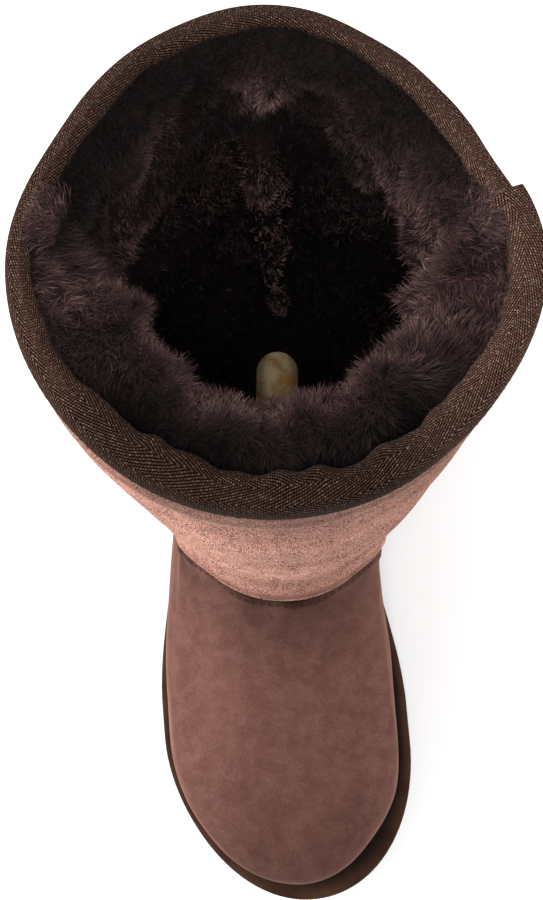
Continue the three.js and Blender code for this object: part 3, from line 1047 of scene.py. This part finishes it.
def make_outsole():
    bottom = sole_disc("outsole_ground", SOLE_WALL[0][0], ground_face)
    top = sole_disc("outsole_top", SOLE_WALL[-1][0], footbed)
    edit(bottom, flip)
    wall, u, v = grid("outsole_tread", 4 * SOLE_SIDE, len(SOLE_WALL) - 1)
    rows = np.array(SOLE_WALL)[np.round(v * (len(SOLE_WALL) - 1)).astype(int)]
    x, y = sole_loop((1 - u) * TURN - TURN / 8, rows[:, 0])
    low, high = ground_face(y), footbed(y)
    shape(wall, np.stack([x, y, lerp(low, high, rows[:, 1]) + rows[:, 2]], -1) + SHIFT)
    pick(wall, bottom, top)
    bpy.ops.object.join()
    edit(wall, weld(0.05), face_out)
    wave = groove_block()
    modify(wall, "BOOLEAN", operation="DIFFERENCE", object=wave, solver="EXACT")
    bpy.data.objects.remove(wave)
    # Painted shade: the top is dark where it runs in under the hide.
    spots = points_of(wall) / MM - SHIFT
    rim = np.stack(sole_loop(np.linspace(0, TURN, 720), SOLE_WALL[-1][0]), -1)
    within = np.linalg.norm(spots[:, None, :2] - rim[None], axis=-1).min(axis=1)
    on_top = np.abs(spots[:, 2] - footbed(spots[:, 1])) < 0.2
    mark(wall, "shade", 0.8 * on_top * (within > 0.8))
    return finish(wall, RUBBER, ["outsole"], smooth_angle=35)


def groove_block():
    """All the tread grooves as one wavy block each, joined."""
    blocks = []
    for start, stop, reach_start, reach_stop in GROOVES:
        count = round((stop - start) / GROOVE["pitch"])
        for k in range(count + 1):
            middle = lerp(start, stop, k / count)
            turning = 2 if start < 0 else count  # the groove where the reach changes
            reach = reach_start if k < turning else reach_stop
            block, u, v = grid("groove", max(12, int(reach / 1.6)), 1)
            x = lerp(-reach, reach, u)
            y = middle + GROOVE["swing"] * np.cos(TURN * x / GROOVE["wave"])
            y = y + (v - 0.5) * GROOVE["width"]
            z = np.full(x.shape, float(ground_face(np.array(middle))) + GROOVE["depth"])
            shape(block, np.stack([x, y, z], -1) + SHIFT)
            modify(block, "SOLIDIFY", thickness=GROOVE["cut"] * MM, offset=-1.0)
            edit(block, face_out)
            blocks.append(block)
    pick(*blocks)
    bpy.ops.object.join()
    return blocks[0]


make_outsole()

# --- Insole ---

INSOLE_TOP = 7.3
INSOLE_THICK = 5.2
INSOLE_IN = 12.6  # from the hide's outer face to the insole's edge
# Where the long fleece leaves the insole bare over the heel.
SLOT = {"middle": 0.65, "half": 7.4, "rear": 89.0}


def make_insole():
    piece, u, v = grid("insole_pad", 60, 60)
    far, turn = disc_share(u, v)
    angle = turn * TURN - TURN / 8
    edge = raw_hide(angle, 0.02) - outward(angle, 0.02) * INSOLE_IN
    x, y = lerp(3.0, edge[:, 0], far), lerp(0.0, edge[:, 1], far)
    crown = INSOLE_TOP + 0.6 * (1 - far**2) - 1.6 * smooth(far, 0.9, 1.0)
    spots = np.stack([x, y, footbed(y) + crown], -1)
    spots[:, 2] += 0.3 * soft_noise(spots, 9, 31)
    spots += SHIFT
    shape(piece, spots)
    # Painted shade where the fleece closes in over the insole: darker towards the slot's sides,
    # its front and its rear end.
    side = np.abs(spots[:, 0] - SLOT["middle"]) / SLOT["half"]
    painted_shade = 0.55 * smooth(side, 0.35, 1.1) + 0.3 * (1 - smooth(spots[:, 1], 68, 84))
    painted_shade += 0.4 * smooth(spots[:, 1], SLOT["rear"] - 12, SLOT["rear"])
    mark(piece, "shade", np.clip(painted_shade, 0, 0.75))
    modify(piece, "SOLIDIFY", thickness=INSOLE_THICK * MM, offset=-1.0)
    return finish(piece, CREAM, ["insole"], smooth_angle=60)


make_insole()

# --- Fleece ---

# The fleece's own section, from under the tape over the soft roll and down the
# inside of the shaft: height at the rear and at the front, depth in from the
# hide's outer face at the rear and at the front.
FLEECE_SECTION = np.array(
    [
        (317, 303, 7.0, 7.0),
        (315.5, 299, 9.0, 9.5),
        (312, 302, 10.5, 13.0),
        (307, 308.5, 11.0, 18.0),
        (302, 306, 11.3, 23.0),
        (295, 299, 11.5, 26.5),
        (285, 289, 11.5, 27.0),
        (270, 274, 11.0, 22.0),
        (252, 254, 10.5, 16.0),
        (228, 228, 10.0, 12.0),
        (190, 190, 10.0, 10.0),
        (150, 150, 11.0, 10.5),
        (110, 110, 15.0, 12.0),
        (70, 70, 21.0, 15.0),
        (42, 42, 25.0, 16.0),
        (28, 28, 27.0, 17.0),
    ]
)
FLEECE_END = len(FLEECE_SECTION) - 1
# Lumps of the fleece: direction in degrees, height, spread and how far it stands out.
LUMPS = [
    (357, 301, 9.5, 8.5),
    (62, 282, 24, 7.0),
    (88, 268, 20, 4.0),
    (350, 262, 12, 4.5),
    (22, 300, 12, 2.5),
    (300, 262, 18, 5.0),
    (318, 290, 14, 4.5),
    (45, 275, 18, 3.0),
    (78, 292, 16, 2.5),
    (120, 296, 18, 2.0),
    (168, 298, 16, 2.0),
    (215, 300, 18, 2.5),
    (250, 296, 18, 2.0),
    (335, 235, 20, 3.0),
    (25, 220, 20, 3.0),
    (345, 180, 18, 3.0),
]


def back_ridge(angle, z):
    """Where the fleece is drawn into a wandering ridge down the middle of the back."""
    aside = turn_from(angle) * RADIUS["shaft"] + 4.0 + 1.5 * np.sin(z / 24.0)
    wander = 2.5 * np.sin(z / 9.0)
    left = 1 - smooth(-aside, 6.5, 9.5)
    right = 1 - smooth(aside, 4.0 + wander, 9.0 + wander)
    return left * right * smooth(z, 70, 130) * (1 - smooth(z, 262, 284))


def lumps_out(angle, z):
    total = np.zeros(np.shape(z))
    for towards, height, spread, out in LUMPS:
        side = turn_from(angle, np.radians(towards)) * RADIUS["rim"]
        total += out * hump(np.hypot(side, z - height), spread)
    return total


def fleece_spot(angle, step):
    """A point of the underwool, by direction and step down its section."""
    i = np.clip(np.floor(step).astype(int), 0, FLEECE_END - 1)
    rows = [FLEECE_SECTION[np.clip(i + k, 0, FLEECE_END)] for k in (-1, 0, 1, 2)]
    row = between(*rows, (step - i)[..., None])
    sunk, thick = smooth(forward(angle), 0.35, 0.8), smooth(forward(angle), -0.45, 0.2)
    z = lerp(row[..., 0], row[..., 1], sunk)
    depth = lerp(row[..., 2], row[..., 3], thick)
    depth = depth - by_direction(TAPE_SHORT, angle % TURN) * (1 - smooth(step, 0, 3))
    groove = hump(turn_from(angle) * RADIUS["shaft"] - 1, 2.5)
    groove = groove * smooth(z, 150, 190) * (1 - smooth(z, 250, 270))
    depth = depth + 11.0 * back_ridge(angle, z) - 5.0 * groove
    depth = depth + lumps_out(angle, z)
    rise = rise_at(angle, z)
    bare = hide(angle, rise)
    tufted = smooth(step, 0.5, 2.5)
    depth = depth + tufted * (1.6 * soft_noise(bare, 12, 41) + 0.9 * soft_noise(bare, 5, 42))
    spot = bare - outward(angle, rise) * depth[..., None]
    # Down at the heel the fleece closes to a narrow slot over the insole.
    rear = smooth(np.cos(angle), -0.35, 0.2) * (1 - smooth(z, 34, 95))
    half, rear_end = SLOT["half"] + 1.2, SLOT["rear"] + 1.2
    slot_y = rear_end * np.cos(angle)
    slot_x = np.sign(np.sin(angle)) * half * round_end((rear_end - slot_y) / half)
    spot[..., 0] = lerp(spot[..., 0], SLOT["middle"] + slot_x, rear)
    spot[..., 1] = lerp(spot[..., 1], slot_y, rear)
    return spot, bare, outward(angle, rise)


def make_underwool():
    around, shown, hidden = 240, 92, 26
    across = shown + hidden
    piece, i, j = ring("fleece_underwool", around, across)
    angle = i / around * TURN
    down = np.clip(j / (shown - 1), 0, 1) * FLEECE_END
    back_up = np.clip((j - shown + 1) / (hidden + 1), 0, 1)
    step = np.where(j < shown, down, (1 - back_up) * FLEECE_END)
    inner, bare, out = fleece_spot(angle, step)
    shape(piece, np.where((j < shown)[:, None], inner, bare - out * 3.0))
    edit(piece, weld(), face_out)
    return finish(piece, UNDERWOOL, smooth_angle=180)


make_underwool()


def clump_centres(across, along, size, seed):
    """The nearest of a jittered lattice of centres: the way to it and its own chance."""
    cells = np.stack([across, along], -1) / size
    best = np.full(len(cells), 1e9)
    centre, chance = np.zeros(cells.shape), np.zeros(len(cells))
    for shift in [(a, b) for a in (-1, 0, 1) for b in (-1, 0, 1)]:
        cell = np.floor(cells) + shift
        key = np.sin(cell @ np.array([12.9898, 78.233]) + seed) * 43758.5453
        other = np.sin(cell @ np.array([39.346, 11.135]) + seed) * 24634.6345
        key, other = key - np.floor(key), other - np.floor(other)
        spot = cell + 0.5 + 0.8 * (np.stack([key, other], -1) - 0.5)
        away = np.linalg.norm(spot - cells, axis=-1)
        nearer = away < best
        best = np.where(nearer, away, best)
        centre = np.where(nearer[:, None], spot, centre)
        chance = np.where(nearer, key, chance)
    return (centre - cells) * size, chance


STRAND_FACES = np.array([[0, 1, 2], [1, 3, 2], [2, 3, 4]])


def strands(name, root, first, second, reach, width, painted_tip_light, material, rng):
    """Hair of three faces a strand, bent at the middle; the painted tip light says how pale each
    tip may be, pale where lit and dark in shade.
    """
    count = len(root)
    middle = root + first * (reach * 0.5)[:, None]
    tip = middle + second * (reach * 0.55)[:, None]
    flat = unit(np.cross(second, rng.normal(size=(count, 3))))
    half = (width * rng.uniform(0.7, 1.2, count) / 2)[:, None] * flat
    narrow = half * 0.85
    points = np.stack([root - half, root + half, middle - narrow, middle + narrow, tip], 1)
    triangles = (np.arange(count)[:, None, None] * 5 + STRAND_FACES).reshape(-1, 3)
    along = np.outer(painted_tip_light, [0.0, 0.0, 0.5, 0.5, 1.0]).ravel()
    uv = np.stack([np.repeat(rng.uniform(0, 1, count), 5), along], -1)
    piece = mesh_piece(name, points.reshape(-1, 3), triangles, uv)
    return finish(piece, material, smooth_angle=0)


def strand_field(name, count, start, stop, length, width, clump, lean, material, seed):
    """Hair rooted on the underwool between two steps of its section, drawn into clumps."""
    rng = np.random.default_rng(seed)
    angle = rng.uniform(0, TURN, count)
    step = rng.uniform(start, stop, count)
    root = fleece_spot(angle, step)[0]
    around = unit(fleece_spot(angle + 0.02, step)[0] - fleece_spot(angle - 0.02, step)[0])
    down = unit(fleece_spot(angle, step + 0.1)[0] - fleece_spot(angle, step - 0.1)[0])
    inward = unit(np.cross(down, around))
    along = np.interp(step, np.arange(len(FLEECE_SECTION)), SECTION_REACH)
    pull, chance = clump_centres(angle * RADIUS["lining"], along, clump, seed)
    swirl = soft_noise(root, 26, seed + 5)
    tilt = soft_noise(root, 20, seed + 6)
    # Over the front roll the hair hangs back towards the tape.
    ahead = forward(angle)
    hang = lerp(-1.0, 1.0, np.maximum(smooth(step, 2.5, 5.0), 1 - smooth(ahead, 0.1, 0.6)))
    reach = length * (0.7 + 0.5 * chance) * rng.uniform(0.65, 1.15, count)
    reach = reach * lerp(0.45, 1.0, smooth(root[:, 2], 35, 110))
    reach = reach * lerp(0.6, 1.0, smooth(ahead, -0.6, 0.1))
    gather = 0.45 * pull / reach[:, None]
    sideways = lean * 0.6 * swirl + 0.3 * rng.normal(size=count) + gather[:, 0]
    fall = lean * (0.3 * hang + 0.45 * tilt) + 0.3 * rng.normal(size=count) + gather[:, 1]
    first = unit(inward + around * (0.5 * sideways)[:, None] + down * (0.4 * fall)[:, None])
    curl = 0.4 * rng.normal(size=(count, 3))
    second = inward + around * (1.25 * sideways)[:, None] + down * (1.3 * fall)[:, None]
    second = unit(second + curl)
    # Painted light on the hair tips: dark at the rear, but for the lump and the ridge, and dark
    # in the shade under the front tape.
    raised = back_ridge(angle, root[:, 2]) + lumps_out(angle, root[:, 2]) / 5.0
    at_rear = 1 - smooth(ahead, -0.75, -0.15)
    at_rear = np.where(np.sin(angle) < 0, 1 - smooth(ahead, -0.35, 0.1), at_rear)
    shade_under_tape = smooth(ahead, 0.3, 0.8) * (1 - smooth(step, 1.0, 5.0))
    painted_tip_light = lerp(1.0, 0.42 + 0.7 * np.minimum(raised, 1.0), at_rear) * (1 - 0.75 * shade_under_tape)
    return strands(name, root - inward * 1.2, first, second, reach, width, painted_tip_light, material, rng)


SECTION_REACH = distance_along(FLEECE_SECTION[:, [1, 3]])
strand_field("fleece_collar", 63000, 0.4, 4.4, 7.0, 0.18, 3.6, 0.9, FLEECE, 101)
strand_field("fleece_roll", 63000, 3.8, 8.4, 6.0, 0.2, 4.0, 0.8, FLEECE, 202)
strand_field("fleece_shaft", 60000, 8.0, 14.8, 5.0, 0.36, 5.0, 0.8, FLEECE_DEEP, 303)


def make_tufts():
    """Fleece that has worked up over the tape's inner edge in two places."""
    rng = np.random.default_rng(404)
    count = 3600
    towards = np.where(rng.uniform(size=count) < 0.55, 280.0, 77.0)
    angle = np.radians(towards + 3.2 * rng.normal(size=count))
    short = by_direction(TAPE_SHORT, angle % TURN)
    further_in = 6.5 * rng.uniform(0, 1, count) ** 1.5
    root = tape_spot(angle, short - 10.2 - further_in, -1.5 - 0.6 * further_in)
    out = outward(angle, rise_at(angle, 300.0))
    around = unit(np.stack([out[:, 1], -out[:, 0], 0 * angle], -1))
    reach = 6.0 * rng.uniform(0.5, 1.15, count)
    side = 0.35 * rng.normal(size=(count, 1))
    up = np.array([0.0, 0.0, 1.0])
    first = unit(up + 0.35 * out + side * around)
    over = 0.2 + 0.6 * rng.uniform(size=(count, 1))
    second = unit(0.2 * up + over * out + 1.5 * side * around)
    return strands("fleece_tufts", root, first, second, reach, 0.22, np.ones(count), FLEECE, rng)


make_tufts()

# --- Stitches ---


def thread_mesh():
    """The corners and triangles of one small bead, copied for every stitch."""
    clear()
    bpy.ops.mesh.primitive_uv_sphere_add(segments=6, ring_count=4, radius=0.5)
    made = bpy.context.object
    corners = points_of(made)
    made.data.calc_loop_triangles()
    faces = np.array([tuple(t.vertices) for t in made.data.loop_triangles])
    bpy.data.objects.remove(made)
    return corners, faces


STITCH_CORNERS, STITCH_FACES = thread_mesh()


def stitches(name, centres, along, up, length, wide, material):
    """A row of stitches, each a short fat thread dipping at its ends."""
    side = unit(np.cross(up, along))
    corners = STITCH_CORNERS
    bulge = np.sign(corners[:, 2]) * np.abs(2 * corners[:, 2]) ** 0.7 / 2
    dip = -0.35 * (2 * bulge) ** 2
    points = (
        centres[:, None]
        + along[:, None] * (bulge * length)[None, :, None]
        + side[:, None] * (corners[:, 0] * wide)[None, :, None]
        + up[:, None] * ((corners[:, 1] + dip * 0.5) * wide)[None, :, None]
    )
    count = len(centres)
    first_corner = (np.arange(count) * len(corners))[:, None, None]
    piece = mesh_piece(name, points.reshape(-1, 3), (STITCH_FACES + first_corner).reshape(-1, 3))
    return finish(piece, material, smooth_angle=0)


def stitch_row(name, angle, rise, above, follow, pitch, length):
    """Stitches along a line on the boot that follows a share of the hide's relief."""
    line = on_hide(angle, rise, above + follow * relief(angle, hide(angle, rise)))
    reach = distance_along(line)
    want = np.arange(pitch, reach[-1] - pitch / 2, pitch)
    spots, ahead = spots_along(line, reach, want), spots_along(line, reach, want + 0.5)
    out = unit(spots_along(outward(angle, rise), reach, want))
    stitches(name, spots, unit(ahead - spots), out, length, 0.6, THREAD)


def seam_rows():
    reach = np.arange(STITCH_PITCH, SEAM_REACH[-1], STITCH_PITCH)
    angle = np.interp(reach, SEAM_REACH, SEAM_DIRECTIONS)
    rise = vamp_rise(angle) - STITCH_INSET / SEAM_ROW / LAST_ROW
    bare = hide(angle, rise)
    spots = on_hide(angle, rise, vamp_lift(angle, rise, bare) + 0.1)
    out = outward(angle, rise)
    along = unit(on_hide(angle + 0.01, rise, 0.0) - on_hide(angle - 0.01, rise, 0.0))
    slanted = unit(np.cross(out, along) + 0.35 * along)
    stitches("vamp_seam_stitches", spots, slanted, out, 2.2, 0.65, THREAD)
    for side, label in ((1, "medial"), (-1, "lateral")):
        for shift, part in ((0.085, "front"), (-0.085, "rear")):
            rise = np.linspace(0.01, 0.955, 700)
            angle = np.full(rise.shape, side * (SIDE_SEAM + shift)) % TURN
            stitch_row(f"{label}_seam_{part}_stitches", angle, rise, 0.1, 1.0, 3.1, 2.2)


def overlay_rows():
    z = np.linspace(26, COUNTER_TOP - OVERLAY_INSET, 240)
    half = counter_half_angle(z) - OVERLAY_INSET / RADIUS["heel"]
    side = np.concatenate([half, np.linspace(half[-1], -half[-1], 160), -half[::-1]])
    z = np.concatenate([z, np.full(160, z[-1]), z[::-1]])
    rise = rise_at(side, z)
    stitch_row("counter_stitches", side, rise, OVERLAY - 0.25, OVERLAY_FOLLOW, 3.0, 2.1)
    for sign, label in ((1, "medial"), (-1, "lateral")):
        z = np.linspace(COUNTER_TOP + 3, 307, 400)
        angle, rise = stay_at(np.full(z.shape, sign * (STAY_HALF - 2.6)), z)
        name = f"stay_{label}_stitches"
        stitch_row(name, angle, rise, OVERLAY - 0.2, OVERLAY_FOLLOW, 3.0, 2.1)


def tape_rows():
    angle = np.linspace(0, TURN, 1200)
    for label, offset, height in (("outer", 1.55, -9.6), ("inner", -9.95, -7.6)):
        level = np.ones(angle.shape)
        line = tape_spot(angle, *tape_swell(angle, offset * level, height * level))
        reach = distance_along(line)
        want = np.arange(0, reach[-1] - 1.5, 2.9)
        spots, ahead = spots_along(line, reach, want), spots_along(line, reach, want + 0.5)
        turn = np.interp(want, reach, angle)
        out = outward(turn, COLLAR_SHARE) * np.sign(offset)
        stitches(f"tape_{label}_stitches", spots, unit(ahead - spots), out, 2.2, 0.5, TAPE_THREAD)


seam_rows()
overlay_rows()
tape_rows()

# --- Floor, light and camera ---

FLOOR_LEVEL = -0.0003  # metres, a hair below the sole
SKY_STRENGTH = 0.74
CAMERA_PLACE = np.array([3.7295, -35.0514, 770.314])
CAMERA_TURNS = (83.4391, 3.4934, -2.964)  # degrees down, to the left and leaning
LENS = 71.44524


def make_floor():
    clear()
    bpy.ops.mesh.primitive_plane_add(size=40, location=(0, 0, FLOOR_LEVEL))
    floor = bpy.context.object
    floor.name = "studio_floor"
    pale = (0.93, 0.93, 0.93, 1.0)
    made = Material("studio_floor", Base_Color=pale, Roughness=1.0, Specular_IOR_Level=0.0)
    floor.data.materials.append(made.material)


def area_light(name, place, target, size, power):
    clear()
    bpy.ops.object.light_add(type="AREA", location=place)
    light = bpy.context.object
    light.name = name
    light.data.shape = "SQUARE"
    light.data.size = size
    light.data.energy = power
    aim = Vector(target) - Vector(place)
    light.rotation_euler = aim.to_track_quat("-Z", "Y").to_euler()


def make_world():
    world = bpy.data.worlds.new("studio")
    bpy.context.scene.world = world
    world.use_nodes = True
    background = world.node_tree.nodes["Background"]
    background.inputs["Color"].default_value = (1.0, 1.0, 1.0, 1.0)
    background.inputs["Strength"].default_value = SKY_STRENGTH


def make_camera():
    pitch, yaw, roll = np.radians(CAMERA_TURNS)
    ahead = np.array([-np.sin(yaw) * np.cos(pitch), np.cos(yaw) * np.cos(pitch), -np.sin(pitch)])
    right = np.array([np.cos(yaw), np.sin(yaw), 0.0])
    up = np.cross(right, ahead)
    right, up = (
        right * np.cos(roll) + up * np.sin(roll),
        up * np.cos(roll) - right * np.sin(roll),
    )
    clear()
    bpy.ops.object.camera_add()
    camera = bpy.context.object
    camera.name = "studio_camera"
    camera.data.sensor_width = 36.0
    camera.data.lens = LENS
    axes = np.vstack([np.stack([right, up, -ahead, CAMERA_PLACE * MM], -1), [0, 0, 0, 1]])
    camera.matrix_world = Matrix(axes.tolist())
    bpy.context.scene.camera = camera


make_floor()
make_world()
area_light("left_softbox", (-1.4, -0.15, 1.05), (0, 0, 0.12), 1.1, 33)
area_light("right_softbox", (1.2, 0.1, 1.35), (0, 0, 0.12), 1.0, 11)
area_light("overhead", (0.0, -0.2, 1.75), (0, 0.05, 0.1), 0.3, 9)
make_camera()
bpy.context.scene.view_settings.view_transform = "Standard"
clear()
